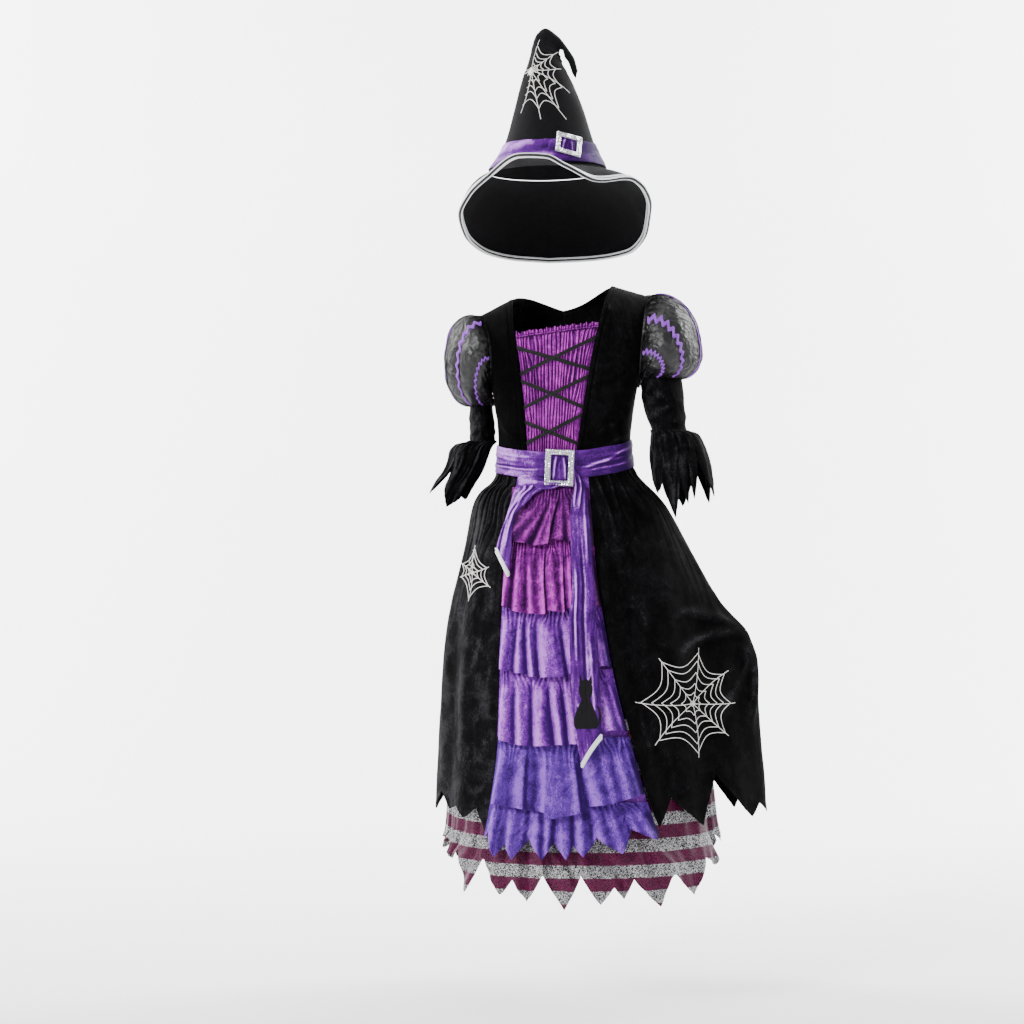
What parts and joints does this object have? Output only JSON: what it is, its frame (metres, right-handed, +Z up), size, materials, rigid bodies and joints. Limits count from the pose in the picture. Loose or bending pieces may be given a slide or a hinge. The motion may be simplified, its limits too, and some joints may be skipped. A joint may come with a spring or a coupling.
{
  "type": "witch costume",
  "caption": "Child's witch costume as worn: velvet dress with puffed sleeves, laced front, tiered gore, jagged skirts and a buckled belt, with a pointed hat.",
  "frame": {"origin": "between the shoulder seams, at their mean height, on the wearer's middle line", "axes": "+Z up along the wearer, -Y towards the front, +X towards the wearer's left"},
  "size_m": [0.5003, 0.4154, 1.2864],
  "materials": {
    "black_velvet": "black stretch velvet with a soft grey sheen",
    "black_satin": "black crumpled satin, shiny",
    "hat_cloth": "black stiffened cloth, matt",
    "magenta_velvet": "magenta crushed velvet",
    "purple_velvet": "purple crushed velvet",
    "violet_velvet": "blue-violet crushed velvet",
    "belt_velvet": "purple crushed velvet",
    "rickrack_braid": "purple woven zigzag braid",
    "glitter_net": "net with crosswise maroon and silver glitter stripes",
    "silver_braid": "silver metallic braid",
    "buckle": "silvered frame set with clear stones",
    "lacing_ribbon": "flat black ribbon"
  },
  "bodies": {
    "root": {"hat_crown": "hat_cloth", "hat_brim": "hat_cloth", "hat_band": "belt_velvet", "hat_band_loop": "belt_velvet", "belt_band": "belt_velvet", "belt_loop": "belt_velvet", "belt_tail_long": "belt_velvet", "belt_tail_short": "belt_velvet", "hat_buckle": "buckle", "belt_buckle": "buckle", "brim_binding": "silver_braid", "tail_braid_long": "silver_braid", "tail_braid_short": "silver_braid", "bodice_back": "black_velvet", "bodice_front_left": "black_velvet", "bodice_front_right": "black_velvet", "sleeve_left": "black_velvet", "sleeve_right": "black_velvet", "cuff_left": "black_velvet", "cuff_right": "black_velvet", "overskirt_front_right": "black_velvet", "overskirt_front_left": "black_velvet", "overskirt_back": "black_velvet", "bodice_insert": "magenta_velvet", "insert_frill": "magenta_velvet", "ruffle_1": "magenta_velvet", "ruffle_2": "magenta_velvet", "skirt_gore": "purple_velvet", "ruffle_3": "purple_velvet", "ruffle_4": "purple_velvet", "ruffle_5": "violet_velvet", "ruffle_6": "violet_velvet", "puff_left": "black_satin", "puff_right": "black_satin", "lacing_1": "lacing_ribbon", "lacing_2": "lacing_ribbon", "lacing_3": "lacing_ribbon", "lacing_4": "lacing_ribbon", "lacing_5": "lacing_ribbon", "lacing_6": "lacing_ribbon", "rickrack_left_1": "rickrack_braid", "rickrack_left_2": "rickrack_braid", "rickrack_left_3": "rickrack_braid", "rickrack_left_4": "rickrack_braid", "rickrack_left_5": "rickrack_braid", "rickrack_right_1": "rickrack_braid", "rickrack_right_2": "rickrack_braid", "rickrack_right_3": "rickrack_braid", "rickrack_right_4": "rickrack_braid", "rickrack_right_5": "rickrack_braid", "underskirt_front": "glitter_net", "underskirt_back": "glitter_net"}
  },
  "joints": []
}
